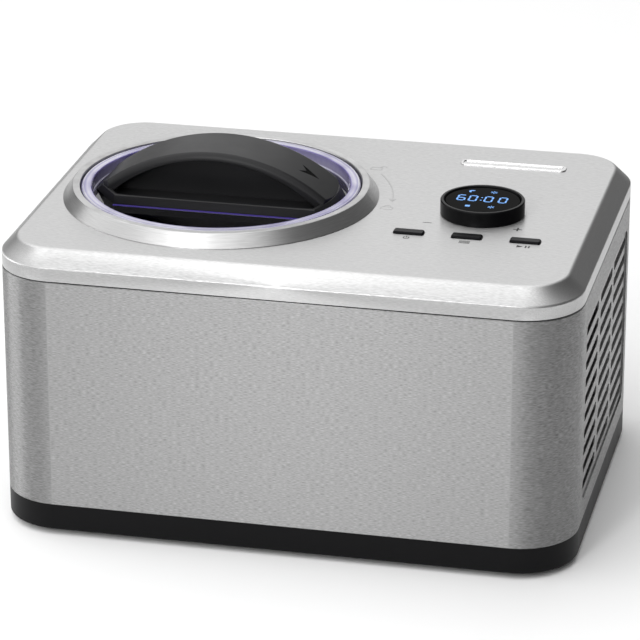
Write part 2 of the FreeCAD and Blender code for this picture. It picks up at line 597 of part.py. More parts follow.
# ---------------------------------------------------------------- bowl, paddle and chamber
def bowl():
    r, w = BOWL_R, BOWL_WALL
    floor, rim = BOWL_FLOOR, BOWL_RIM
    profile = [(14.0, floor - w), (r - 8, floor - w), (r - 2.5, floor - w + 2.2), (r + w, floor + 7),
               (r + w, rim - 2.0), (90.5, rim - 2.0), (91.3, rim - 1.0), (90.5, rim), (r + 1.2, rim),
               (r, rim - 1.2), (r, floor + 9), (r - 2.6, floor + 3), (r - 8.4, floor),
               (20.0, floor), (16.6, floor + 4), (13.0, SPIKE_TOP - 1.5), (11.6, SPIKE_TOP),
               (7.0, SPIKE_TOP), (7.0, SPIKE_TOP - 2.2), (10.4, SPIKE_TOP - 3.4), (14.0, floor + 3)]
    body = turned(profile, LID_X, LID_Y)
    ears = []
    for a in (90, 270):
        ear = turned([(89.5, rim - 2.0), (94.0, rim - 2.0), (94.4, rim - 1.0), (94.0, rim), (89.5, rim)],
                     LID_X, LID_Y)
        wedge = box(-14, 14, 80, 100, rim - 4, rim + 2)
        wedge.rotate(V(0, 0, 0), V(0, 0, 1), a - 90)
        wedge.translate(V(LID_X, LID_Y, 0))
        ears.append(ear.common(wedge))
    save("bowl", fuse(body, *ears))


def paddle_blade(points, thick, z0, z1):
    """An upright blade whose plan follows a polyline, at one thickness."""
    parts = []
    for (xa, ya), (xb, yb) in zip(points, points[1:]):
        length = math.hypot(xb - xa, yb - ya)
        bar = box(0, length, -thick / 2, thick / 2, z0, z1)
        bar.rotate(V(0, 0, 0), V(0, 0, 1), math.degrees(math.atan2(yb - ya, xb - xa)))
        bar.translate(V(xa, ya, 0))
        parts += [bar, cyl(thick / 2, z0, z1, xa, ya), cyl(thick / 2, z0, z1, xb, yb)]
    return parts


def paddle():
    """The mixing arm: a hub over the spike, a wall scraper, a bottom sweep and an inner loop."""
    low = BOWL_FLOOR + 1.6
    hub = turned([(18.4, low + 2), (21.0, low + 2), (17.6, SPIKE_TOP + 2), (15.2, 158.0), (9.0, 166.0),
                  (8.0, 182.0), (6.0, 184.5), (0.0, 184.5), (0.0, SHAFT_TOP + 1.0), (6.2, SHAFT_TOP + 1.0),
                  (6.2, SPIKE_TOP + 2.6), (14.6, SPIKE_TOP + 2.6), (14.6, SPIKE_TOP - 1)])
    cross = box(-SHAFT_R - 0.25, SHAFT_R + 0.25, -2.35, 2.35, SPIKE_TOP + 2, SHAFT_TOP + 0.6)
    solid_core = cyl(6.4, SPIKE_TOP + 6.0, SHAFT_TOP + 1.2)
    hub = fuse(hub, solid_core).cut(cross)
    hub = hub.cut(cyl(SHAFT_R + 0.3, SPIKE_TOP + 1, SPIKE_TOP + 6.6))
    reach = BOWL_R - 1.8
    wall = paddle_blade([(reach - 12, -13), (reach - 4.6, -4), (reach - 3.0, 8)], 3.0, low + 9, 176.0)
    arm_top = [box(7.5, reach - 4.0, -4.6, 0.4, 166.0, 172.0)]
    sweep = [box(16, reach - 8, -4.0, -0.6, low, low + 14), box(-reach + 10, -16, 0.6, 4.0, low, low + 14)]
    loop = paddle_blade([(-46, -2), (-52, 7), (-50, 14)], 3.0, low + 6, 160.0)
    arm_back = [box(-52, -12, -2.5, 2.5, 148.0, 154.0)]
    spokes = [box(12, reach - 4.5, -3.6, -0.2, 128.0, 132.5), box(-50, -12, -1.4, 2.0, 118.0, 122.5)]
    keep = turned([(0, low), (reach - 7, low), (reach - 1.2, low + 7), (reach, low + 12), (reach, 190),
                   (0, 190)])
    blades = fuse(*wall, *arm_top, *sweep, *loop, *arm_back, *spokes).common(keep)
    clear = turned([(0, low - 1), (19.6, low - 1), (18.6, low + 8), (14.8, SPIKE_TOP - 1),
                    (14.8, SPIKE_TOP + 2.7), (0, SPIKE_TOP + 2.7)])
    body = fuse(hub, blades.cut(clear))
    body.translate(V(LID_X, LID_Y, 0))
    save("mixing_paddle", body)


def chamber():
    r, w, floor, top = CHAMBER_R, CHAMBER_WALL, CHAMBER_FLOOR, CHAMBER_TOP
    profile = [(9.2, floor - w), (r + w - 4, floor - w), (r + w, floor + 2), (r + w, top - w),
               (100.5, top - w), (100.5, top), (r, top), (r, floor + 4), (r - 4, floor), (9.2, floor)]
    save("cooling_chamber", turned(profile, LID_X, LID_Y))
    seal = [(95.4, top), (101.0, top), (101.0, RING_SKIRT_Z), (95.8, RING_SKIRT_Z)]
    save("chamber_seal", turned(seal, LID_X, LID_Y))
    jacket = turned([(15.0, JACKET_BOTTOM), (JACKET_R, JACKET_BOTTOM), (JACKET_R, PARTING - SLIP),
                     (92.6, PARTING - SLIP), (92.6, floor - w - 0.2), (15.0, floor - w - 0.2)], LID_X, LID_Y)
    channel = box(LID_X + 80, LID_X + 110, LID_Y - 26, LID_Y + 26, JACKET_BOTTOM - 1, 190)
    save("insulation_jacket", jacket.cut(channel))


COIL_TUBE_R = 3.6
COIL_PITCH = 11.0
COIL_LEVELS = 7
COIL_R = CHAMBER_R + CHAMBER_WALL + COIL_TUBE_R + 0.15
COIL_START_Z = CHAMBER_FLOOR + 6
COIL_END_Z = COIL_START_Z + COIL_PITCH * (COIL_LEVELS - 1)
COIL_GAP = 15.0               # the loops stop this many degrees short of the +X side


def coil_point(degrees, z, ahead=0.0):
    """A point on the coil's circle, moved ahead along the anticlockwise tangent."""
    a = math.radians(degrees)
    return V(LID_X + COIL_R * math.cos(a) - ahead * math.sin(a),
             LID_Y + COIL_R * math.sin(a) + ahead * math.cos(a), z)


def coil():
    """The evaporator tube: open loops round the chamber, one above the other, joined by U-bends."""
    edges = []
    for level in range(COIL_LEVELS):
        z = COIL_START_Z + COIL_PITCH * level
        first, last = (COIL_GAP, 360 - COIL_GAP) if level % 2 == 0 else (360 - COIL_GAP, COIL_GAP)
        edges.append(Part.Arc(coil_point(first, z), coil_point(180, z), coil_point(last, z)).toShape())
        if level < COIL_LEVELS - 1:
            ahead = math.copysign(COIL_PITCH / 2, last - first)
            edges.append(Part.Arc(coil_point(last, z), coil_point(last, z + COIL_PITCH / 2, ahead),
                                  coil_point(last, z + COIL_PITCH)).toShape())
    start = coil_point(COIL_GAP, COIL_START_Z)
    ring = Part.Wire(Part.makeCircle(COIL_TUBE_R, start, coil_point(COIL_GAP, COIL_START_Z, 1) - start))
    tube_solid = Part.Wire(edges).makePipeShell([ring], True, False)
    length = sum(e.Length for e in edges)
    print("   coil volume over section times length:",
          round(tube_solid.Volume / (math.pi * COIL_TUBE_R ** 2 * length), 4))
    save("evaporator_coil", tube_solid)


# ---------------------------------------------------------------- drive
def drive():
    x, y = LID_X, LID_Y
    gz0, gz1 = GEAR_Z, GEAR_Z + 10
    fz0, fz1 = GEAR_Z + 12, GEAR_Z + 18
    shaft = fuse(cyl(SHAFT_R, 34.4, SPIKE_TOP + 5.5, x, y),
                 cyl(SHAFT_R, SPIKE_TOP + 5.0, SHAFT_TOP, x, y).common(
                     box(x - 10, x + 10, y - 2.1, y + 2.1, 100, 200)))
    save("drive_shaft", shaft)
    big = gear(COARSE_MODULE, BIG_TEETH, SHAFT_R + 0.02, gz0, gz1, x, y, 0.0)
    web = [cyl(5.0, gz0 - 1, gz1 + 1, x + 23 * math.cos(a), y + 23 * math.sin(a))
           for a in [math.radians(60 * k + 30) for k in range(6)]]
    save("output_gear", cut(big, *web))
    ix, iy = IDLER_X, IDLER_Y
    mx, my = MOTOR_X, MOTOR_Y
    toward_motor = math.degrees(math.atan2(my - iy, mx - ix))
    small = gear(COARSE_MODULE, SMALL_TEETH, 3.06, gz0, fz0, ix, iy, 180 + 180 / SMALL_TEETH)
    large = gear(FINE_MODULE, BIG_TEETH, 3.06, fz0, fz1, ix, iy, toward_motor)
    save("idler_gear", fuse(small, large))
    save("idler_pin", cyl(3.0, 37.6, 61.4, ix, iy))
    pinion = gear(FINE_MODULE, SMALL_TEETH, 2.02, fz0 - 0.5, fz1 + 0.5, mx, my,
                  toward_motor + 180 + 180 / SMALL_TEETH)
    save("motor_pinion", pinion)
    save("motor_shaft", cyl(2.0, 11.5, fz1 + 2, mx, my))
    can = turned([(2.06, 9.0), (22.0, 9.0), (24.0, 11.0), (24.0, 34.0), (22.5, 35.8), (6.0, 35.8),
                  (6.0, 37.6), (2.06, 37.6)], mx, my)
    save("drive_motor", can)
    cx, cy = x + 19.5, y + 3.5
    outer = slab(133, 101, 18, 36.0, 60.0, cx, cy)
    inner = slab(128, 96, 15.5, 38.4, 61.0, cx, cy)
    ears = [cyl(7.0, 36.0, 60.0, px, py) for px, py in gearbox_posts()]
    low_boss = cyl(9.0, 36.0, 39.4, x, y)
    base = fuse(outer.cut(inner), low_boss, *ears)
    base = cut(base, cyl(7.05, 33.0, 41.0, x, y), cyl(6.2, 33, 41, mx, my), cyl(3.02, 37.6, 41, ix, iy),
               *[cyl(2.0, 35, 61, px, py) for px, py in gearbox_posts()])
    save("gearbox_base", base)
    lid = fuse(slab(133, 101, 18, 60.0, 62.4, cx, cy), cyl(12.5, 62.0, 71.5, x, y))
    tabs = [cyl(7.0, 60.0, 62.4, px, py) for px, py in gearbox_posts()]
    lid = cut(fuse(lid, *tabs), cyl(8.05, 58.0, 73.0, x, y), cyl(3.02, 59.0, 61.5, ix, iy),
              *[cyl(2.0, 58, 64, px, py) for px, py in gearbox_posts()])
    save("gearbox_cover", lid)
    save("gearbox_screws", *[screw(px, py, 62.4, 38.0, shank_r=1.8, head_r=3.4)
                             for px, py in gearbox_posts()])
    bore = SHAFT_R + 0.05
    save("shaft_bushes", turned([(bore, 34.6), (7.0, 34.6), (7.0, 39.6), (bore, 39.6)], x, y),
         turned([(bore, 61.0), (8.0, 61.0), (8.0, 72.5), (bore, 72.5)], x, y))
    seal = turned([(SHAFT_R + 0.05, 80.0), (9.1, 80.0), (9.1, 87.6), (10.8, 88.0), (8.6, 88.2),
                   (7.0, 87.0), (5.8, 88.2), (SHAFT_R + 0.05, 87.4)], x, y)
    save("shaft_seal", seal)


# ---------------------------------------------------------------- refrigeration
def compressor():
    x, y, r = COMP_X, COMP_Y, COMP_R
    shell = turned([(0, 20), (26, 20.5), (40, 24), (r - 2, 32), (r, 42), (r, 84), (r + 2.5, 84),
                    (r + 2.5, 88), (r, 88), (r, 116), (r - 3, 128), (r - 12, 137), (24, 142),
                    (0, 143.5)], x, y)
    plate = slab(116, 94, 8, 16.0, 18.4, x, y)
    saddle = tube(30.0, 26.0, 18.4, 22.5, x, y)
    holes = [cyl(5.1, 10, 20, px, py) for px, py in comp_bolts()]
    stubs = [cyl(3.4, 130.0, STUB_Z, px, py) for px, py in (SUCTION_STUB, DISCHARGE_STUB)]
    save("compressor", fuse(shell, cut(plate, *holes), saddle, *stubs))
    grommet = [(2.65, 12.0), (6.4, 12.0), (6.4, 15.9), (5.0, 15.9), (5.0, 18.5), (6.4, 18.5),
               (6.4, 21.5), (2.65, 21.5)]
    save("compressor_grommets", *[turned(grommet, px, py) for px, py in comp_bolts()])
    save("compressor_bolts", *[screw(px, py, 21.5, 13.5, shank_r=2.4, head_r=4.4, head_h=3.0)
                               for px, py in comp_bolts()])
    relay = slab(34, 30, 4, 62, 104, x - 6, y - r - 12.0)
    relay = soften(relay, 2.0, lambda p: near(p.z, 104))
    save("relay_cover", relay.cut(cyl(r + 2.55, 60, 106, x, y)))


def condenser():
    x0, x1 = COND_TUBE_X[0] - 5.5, COND_TUBE_X[1] + 5.5
    fins = []
    for i in range(36):
        y = COND_Y0 + 5.0 + 5.1 * i
        fin = box(x0, x1, y, y + 0.5, COND_ROWS[0] - 8, COND_ROWS[-1] + 8)
        fins.append(cut(fin, *[rod(3.6, (x, y - 1, z), (x, y + 2, z)) for z in COND_ROWS
                               for x in COND_TUBE_X]))
    save("condenser", condenser_tube(), *fins)


def condenser_tube(r=3.4):
    """One tube: down the outer bank, across at the bottom, and up the inner bank."""
    edges = []
    top_down = COND_ROWS[::-1]
    for x, rows in ((COND_TUBE_X[1], top_down), (COND_TUBE_X[0], COND_ROWS)):
        for i, z in enumerate(rows):
            a, b = (COND_Y1, COND_Y0) if (i % 2 == 0) == (rows is top_down) else (COND_Y0, COND_Y1)
            edges.append(Part.LineSegment(V(x, a, z), V(x, b, z)).toShape())
            if i + 1 < len(rows):
                after = rows[i + 1]
                out = b + math.copysign(abs(after - z) / 2, b)
                edges.append(Part.Arc(V(x, b, z), V(x, out, (z + after) / 2), V(x, b, after)).toShape())
        if rows is top_down:
            xa, xb = COND_TUBE_X[1], COND_TUBE_X[0]
            out = COND_Y0 - (xa - xb) / 2
            low = rows[-1]
            edges.append(Part.Arc(V(xa, COND_Y0, low), V((xa + xb) / 2, out, low),
                                  V(xb, COND_Y0, low)).toShape())
    path = Part.Wire(edges)
    ring = Part.Wire(Part.makeCircle(r, V(COND_TUBE_X[1], COND_Y1, top_down[0]), V(0, 1, 0)))
    return path.makePipeShell([ring], True, False)


def fan():
    half, d = FAN_SIZE / 2, FAN_DEPTH
    frame = slab(FAN_SIZE, FAN_SIZE, 5, 0, d)
    frame = frame.cut(cyl(half - 3, -1, d + 1))
    frame = cut(frame, *[cyl(2.2, -1, d + 1, sx * 36, sy * 36) for sx in (-1, 1) for sy in (-1, 1)])
    hub = cyl(15, 0, 2.5)
    struts = []
    for k in range(4):
        bar = box(14, half - 2, -1.6, 1.6, 0, 2.5)
        bar.rotate(V(0, 0, 0), V(0, 0, 1), 90 * k + 20)
        struts.append(bar)
    pin = cyl(1.5, 2, 8)
    save("fan_frame", lay_along_x(fuse(frame, hub, pin, *struts), FAN_X - d / 2, FAN_Y, FAN_Z))
    cup = cyl(17, 3.2, 21).cut(cyl(1.58, 3, 9)).cut(tube(15, 4, 3, 17))
    blades = []
    for k in range(7):
        blade = box(14, half - 5.5, -11.5, 11.5, -0.9, 0.9)
        blade.rotate(V(0, 0, 0), V(1, 0, 0), 38)
        blade.translate(V(0, 0, 12.5))
        blade.rotate(V(0, 0, 0), V(0, 0, 1), 360 / 7 * k)
        blades.append(blade)
    limits = tube(half - 5, 14, 3.4, 22.0)
    blades = [b.common(limits).cut(cyl(16.2, 0, 30)) for b in blades]
    save("fan_rotor", lay_along_x(fuse(cup, *blades), FAN_X - d / 2, FAN_Y, FAN_Z))


def plumbing():
    """The pipes of the cooling circuit, in the order in which the refrigerant runs."""
    (dx, dy), (sx, sy) = DISCHARGE_STUB, SUCTION_STUB
    inlet_x, outlet_x, top = COND_TUBE_X[1], COND_TUBE_X[0], COND_ROWS[-1]
    save("discharge_line", pipe([(dx, dy, STUB_Z), (dx, dy, 163), (142, 104, 163), (164, 117, 156),
                                 (inlet_x, 116, 146), (inlet_x, 104, top), (inlet_x, COND_Y1, top)],
                                2.4, 12))
    save("liquid_line", pipe([(outlet_x, COND_Y1, top), (outlet_x, 103, top), (156, 118, 150),
                              (120, 127, 153), (84, 125, 153), (54, 112, 148),
                              (DRIER_X, DRIER_Y, 142), (DRIER_X, DRIER_Y, DRIER_Z + 66)], 2.0, 12))
    drier = turned([(0, 0), (2.2, 0), (2.2, 8), (8, 14), (8, 54), (2.2, 60), (2.2, 66), (0, 66)],
                   DRIER_X, DRIER_Y)
    drier.translate(V(0, 0, DRIER_Z))
    save("filter_drier", drier)
    inlet, before = [coil_point(COIL_GAP, COIL_START_Z, -back) for back in (0.1, 16.0)]
    save("capillary_tube", pipe([(DRIER_X, DRIER_Y, DRIER_Z), (DRIER_X, DRIER_Y, 50), (42, 72, 46),
                                 (37, 44, 48), (31, 14, 51), (26, -12, 60), (24, -16, 74), (21, -10, 86),
                                 tuple(before), tuple(inlet)], 1.2, 12))
    outlet, after = [coil_point(-COIL_GAP, COIL_END_Z, ahead) for ahead in (0.1, 16.0)]
    save("suction_line", pipe([tuple(outlet), tuple(after), (27, -2, COIL_END_Z), (40, 10, 160),
                               (54, 28, 164), (sx - 6, sy - 10, 165), (sx, sy, 160),
                               (sx, sy, STUB_Z)], 2.6, 12))


def electrics():
    board = box(52, 132, -124.0, -122.4, 36, 112)
    parts = [board, box(58, 86, -122.4, -98, 42, 70), box(92, 112, -122.4, -104, 42, 58),
             box(60, 80, -122.4, -108, 78, 100), box(96, 126, -122.4, -112, 84, 104)]
    parts += [rod(6.0, (120, -122.4, 50 + 15 * k), (120, -100, 50 + 15 * k)) for k in range(2)]
    save("power_board", *parts)
    save("board_bracket", box(50, 134, -127.0, -124.0, 30, 116))
    tx, ty = GLAND_X, 119.0
    save("terminal_block", cut(slab(34, 14, 2, FOOT_GAP + 3, 23.0, tx, ty),
                               *[cyl(2.2, 15, 24, tx + 11 * k, ty) for k in (-1, 0, 1)]))
    to_panel = [(111, -117, 104.3), (111, -113, 128), (110, -92, 152), (108, -64, 166), (108, -62, 187.7)]
    to_motor = [(72, -96.4, 50), (68, -82, 42), (50, -50, 26), (30, -16, 19), (14, 14, 19),
                (12, MOTOR_Y, 22), (MOTOR_X + 24.0, MOTOR_Y, 22)]
    to_block = [(100, -110, 41.0), (98, -102, 26), (72, -70, 11.5), (36, -20, 11), (29, 30, 11.5),
                (tx, 84, 12), (tx, ty - 7.2, 14)]
    save("wire_harness", *[pipe(route, 1.6, 12) for route in (to_panel, to_motor, to_block)])


def build():
    base_tray()
    feet()
    housing_wrap()
    rear_panel()
    cable_gland()
    side_grille("right_grille", 1)
    side_grille("left_grille", -1)
    inner_frame()
    top_cover()
    ring_trim()
    badge()
    knob()
    buttons()
    control_board()
    lid_cover()
    lid_handle()
    lid_gasket()
    bowl()
    paddle()
    chamber()
    coil()
    drive()
    compressor()
    condenser()
    fan()
    plumbing()
    electrics()


build()
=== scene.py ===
import math

import bmesh
import bpy
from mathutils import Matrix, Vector


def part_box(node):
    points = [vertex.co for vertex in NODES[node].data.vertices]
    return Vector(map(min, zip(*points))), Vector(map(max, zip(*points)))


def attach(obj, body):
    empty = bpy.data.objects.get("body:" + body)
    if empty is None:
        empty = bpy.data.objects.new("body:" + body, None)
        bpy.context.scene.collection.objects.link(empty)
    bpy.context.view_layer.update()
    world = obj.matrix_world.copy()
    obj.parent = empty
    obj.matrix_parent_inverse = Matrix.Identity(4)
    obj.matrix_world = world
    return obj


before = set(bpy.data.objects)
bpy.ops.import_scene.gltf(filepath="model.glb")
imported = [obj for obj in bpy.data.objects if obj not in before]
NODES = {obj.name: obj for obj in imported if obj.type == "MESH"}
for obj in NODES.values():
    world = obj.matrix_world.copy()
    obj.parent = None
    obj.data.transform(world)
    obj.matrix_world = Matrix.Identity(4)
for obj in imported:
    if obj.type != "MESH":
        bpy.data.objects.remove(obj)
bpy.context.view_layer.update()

MM = 0.001
HOUSING = "housing"


# ------------------------------------------------------------------ places, read from the frame
def middle(node):
    low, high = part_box(node)
    return (low + high) / 2


def top_of(node):
    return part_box(node)[1].z


BADGE_PROUD = 0.9 * MM             # how far the badge plate's frame stands above the deck
DECK_Z = top_of("blank_badge") - BADGE_PROUD
LID_C = middle("lid_cover")
KNOB_C = middle("knob_ring")
LENS_Z = top_of("display_lens")
BUTTONS = ("power_button", "menu_button", "start_button")


# ------------------------------------------------------------------ material building blocks
class Recipe:
    """One material's node tree, with short names for the nodes that the recipes below share."""

    def __init__(self, name, color, roughness=0.5, metallic=0.0, **sockets):
        self.mat = bpy.data.materials.new(name)
        self.mat.use_nodes = True
        self.tree = self.mat.node_tree
        self.tree.nodes.clear()
        self.bsdf = self.add("ShaderNodeBsdfPrincipled")
        output = self.add("ShaderNodeOutputMaterial")
        self.join(self.bsdf.outputs[0], output.inputs["Surface"])
        self.set("Base Color", (*color, 1.0))
        self.set("Roughness", roughness)
        self.set("Metallic", metallic)
        for socket, value in sockets.items():
            self.set(socket.replace("_", " "), value)
        self.mat.diffuse_color = (*color, 1.0)

    def add(self, kind, **settings):
        node = self.tree.nodes.new(kind)
        for key, value in settings.items():
            setattr(node, key, value)
        return node

    def join(self, a, b):
        self.tree.links.new(a, b)

    def set(self, socket, value):
        self.bsdf.inputs[socket].default_value = value

    def place(self, scale):
        """Object coordinates stretched by scale, one number for each axis."""
        where = self.add("ShaderNodeTexCoord")
        stretch = self.add("ShaderNodeMapping")
        stretch.inputs["Scale"].default_value = scale
        self.join(where.outputs["Object"], stretch.inputs["Vector"])
        return stretch.outputs["Vector"]

    def noise(self, scale, detail, rough):
        """Noise with scale cells in a metre, one number for every axis or one for each."""
        scale = scale if isinstance(scale, tuple) else (scale,) * 3
        node = self.add("ShaderNodeTexNoise")
        node.inputs["Scale"].default_value = 1.0
        node.inputs["Detail"].default_value = detail
        node.inputs["Roughness"].default_value = rough
        self.join(self.place(scale), node.inputs["Vector"])
        return node.outputs["Fac"]

    def spread(self, value, low, high, start=0.25, end=0.75):
        """value from start..end turned into low..high."""
        node = self.add("ShaderNodeMapRange")
        for key, number in (("From Min", start), ("From Max", end), ("To Min", low), ("To Max", high)):
            node.inputs[key].default_value = number
        self.join(value, node.inputs["Value"])
        return node.outputs["Result"]

    def tint(self, value, dark, light, start=0.25, end=0.75):
        """A colour between dark and light, by value."""
        ramp = self.add("ShaderNodeValToRGB")
        ramp.color_ramp.elements[0].position = start
        ramp.color_ramp.elements[1].position = end
        ramp.color_ramp.elements[0].color = (*dark, 1.0)
        ramp.color_ramp.elements[1].color = (*light, 1.0)
        self.join(value, ramp.inputs["Fac"])
        return ramp.outputs["Color"]

    def beyond(self, centre, near, far):
        """0 nearer than near to the upright axis through centre, 1 further out than far."""
        where = self.add("ShaderNodeTexCoord")
        shift = self.add("ShaderNodeVectorMath", operation="SUBTRACT")
        shift.inputs[1].default_value = centre
        flat = self.add("ShaderNodeVectorMath", operation="MULTIPLY")
        flat.inputs[1].default_value = (1.0, 1.0, 0.0)
        reach = self.add("ShaderNodeVectorMath", operation="LENGTH")
        self.join(where.outputs["Object"], shift.inputs[0])
        self.join(shift.outputs["Vector"], flat.inputs[0])
        self.join(flat.outputs["Vector"], reach.inputs[0])
        return self.spread(reach.outputs["Value"], 0.0, 1.0, near, far)

    def bump(self, height, strength, distance):
        node = self.add("ShaderNodeBump")
        node.inputs["Strength"].default_value = strength
        node.inputs["Distance"].default_value = distance
        self.join(height, node.inputs["Height"])
        self.join(node.outputs["Normal"], self.bsdf.inputs["Normal"])


def shade(color, factor):
    """The colour, darker or lighter by factor."""
    return tuple(min(1.0, c * factor) for c in color)


def brushed(name, color, grain, roughness=0.3, contrast=0.12, turn="Z", anisotropy=0.6, dent=0.12):
    """Brushed metal: fine scratches along the axes where grain is smallest.

    The tangent runs round the axis that turn names. A quarter turn from it spreads the highlights
    across the scratches, as brushing does.
    """
    coarser, share, quarter_turn = 0.2, 0.08, 0.25
    r = Recipe(name, color, roughness, 1.0, Anisotropic=anisotropy, Anisotropic_Rotation=quarter_turn)
    both = r.add("ShaderNodeMix", data_type="FLOAT")
    both.inputs[0].default_value = share
    r.join(r.noise(grain, 1.0, 0.5), both.inputs[2])
    r.join(r.noise(tuple(g * coarser for g in grain), 2.0, 0.5), both.inputs[3])
    scratches = both.outputs[0]
    r.join(r.tint(scratches, shade(color, 1 - contrast), shade(color, 1 + contrast), 0.3, 0.7),
           r.bsdf.inputs["Base Color"])
    r.join(r.spread(scratches, roughness * 1.22, roughness * 0.8), r.bsdf.inputs["Roughness"])
    r.bump(scratches, dent, 0.05 * MM)
    direction = r.add("ShaderNodeTangent", direction_type="RADIAL", axis=turn)
    r.join(direction.outputs["Tangent"], r.bsdf.inputs["Tangent"])
    return r.mat


def moulded(name, color, roughness=0.5, grain=2600.0, dent=0.15, depth=0.02, **sockets):
    """Moulded plastic or rubber: a fine even texture, and faint broad unevenness in gloss and colour."""
    r = Recipe(name, color, roughness, 0.0, **sockets)
    fine = r.noise(grain, 2.0, 0.5)
    broad = r.noise(28.0, 3.0, 0.6)
    r.join(r.spread(broad, roughness * 0.88, min(1.0, roughness * 1.12)), r.bsdf.inputs["Roughness"])
    r.join(r.tint(broad, shade(color, 0.92), shade(color, 1.08)), r.bsdf.inputs["Base Color"])
    r.bump(fine, dent, depth * MM)
    return r.mat


def paper(name, color):
    """Seamless studio paper: matt, almost even, with a very fine tooth."""
    r = Recipe(name, color, 0.9, 0.0, Specular_IOR_Level=0.1)
    tooth = r.noise(700.0, 2.0, 0.5)
    r.join(r.tint(tooth, shade(color, 0.995), shade(color, 1.005)), r.bsdf.inputs["Base Color"])
    r.bump(tooth, 0.02, 0.02 * MM)
    return r.mat


def plain_metal(name, color, roughness=0.3, grain=500.0, dent=0.1):
    """Cast, drawn or plated metal: soft mottling in colour and gloss."""
    r = Recipe(name, color, roughness, 1.0)
    cloud = r.noise(grain, 4.0, 0.6)
    r.join(r.spread(cloud, roughness * 0.8, roughness * 1.25), r.bsdf.inputs["Roughness"])
    r.join(r.tint(cloud, shade(color, 0.88), shade(color, 1.08)), r.bsdf.inputs["Base Color"])
    r.bump(cloud, dent, 0.02 * MM)
    return r.mat


def tinted_lid(name, tints_and_highlights, centre):
    """Clear moulded plastic: a dark tinted plate, and a milkier rim with light and dark bands painted on
    it as highlights of its steps.

    The colour table gives a radius in millimetres and the colour there, from the plate outwards; its
    light and dark bands over the rim are painted highlights.
    """
    roughness, acrylic, step = 0.04, 1.49, 0.6 * MM
    plate_clear, rim_clear = 1.0, 0.45
    (first, plate), (last, rim) = tints_and_highlights[0], tints_and_highlights[-1]
    first, last = first * MM, last * MM
    r = Recipe(name, rim, roughness, 0.0, IOR=acrylic)
    highlight_bands = r.add("ShaderNodeValToRGB")
    highlight_bands.color_ramp.elements[0].color = (*plate, 1.0)
    highlight_bands.color_ramp.elements[1].color = (*rim, 1.0)
    for radius, tint in tints_and_highlights[1:-1]:
        stop = highlight_bands.color_ramp.elements.new((radius * MM - first) / (last - first))
        stop.color = (*tint, 1.0)
    r.join(r.beyond(centre, first, last), highlight_bands.inputs["Fac"])
    # Soft dark patches multiplied into the colour: painted dark reflections.
    painted_dark_reflection = r.add("ShaderNodeMix", data_type="RGBA", blend_type="MULTIPLY")
    painted_dark_reflection.inputs[7].default_value = (0.34, 0.30, 0.58, 1.0)
    r.join(r.spread(r.noise((16.0, 16.0, 60.0), 2.0, 0.6), 0.0, 0.9, 0.46, 0.62), painted_dark_reflection.inputs[0])
    r.join(highlight_bands.outputs["Color"], painted_dark_reflection.inputs[6])
    r.join(painted_dark_reflection.outputs[2], r.bsdf.inputs["Base Color"])
    outside = r.beyond(centre, first, first + step)
    r.join(r.spread(outside, plate_clear, rim_clear, 0.0, 1.0), r.bsdf.inputs["Transmission Weight"])
    wave = r.noise(45.0, 2.0, 0.5)
    r.join(r.spread(wave, roughness * 0.6, roughness * 1.6), r.bsdf.inputs["Roughness"])
    r.bump(wave, 0.05, 0.2 * MM)
    return r.mat


def glowing(name, color, strength):
    """A lit segment behind glass: its own light, on a dark body of the same hue."""
    r = Recipe(name, shade(color, 0.2), 0.4, 0.0, Emission_Color=(*color, 1.0),
               Emission_Strength=strength)
    cloud = r.noise(900.0, 2.0, 0.5)
    r.join(r.spread(cloud, 0.3, 0.5), r.bsdf.inputs["Roughness"])
    return r.mat


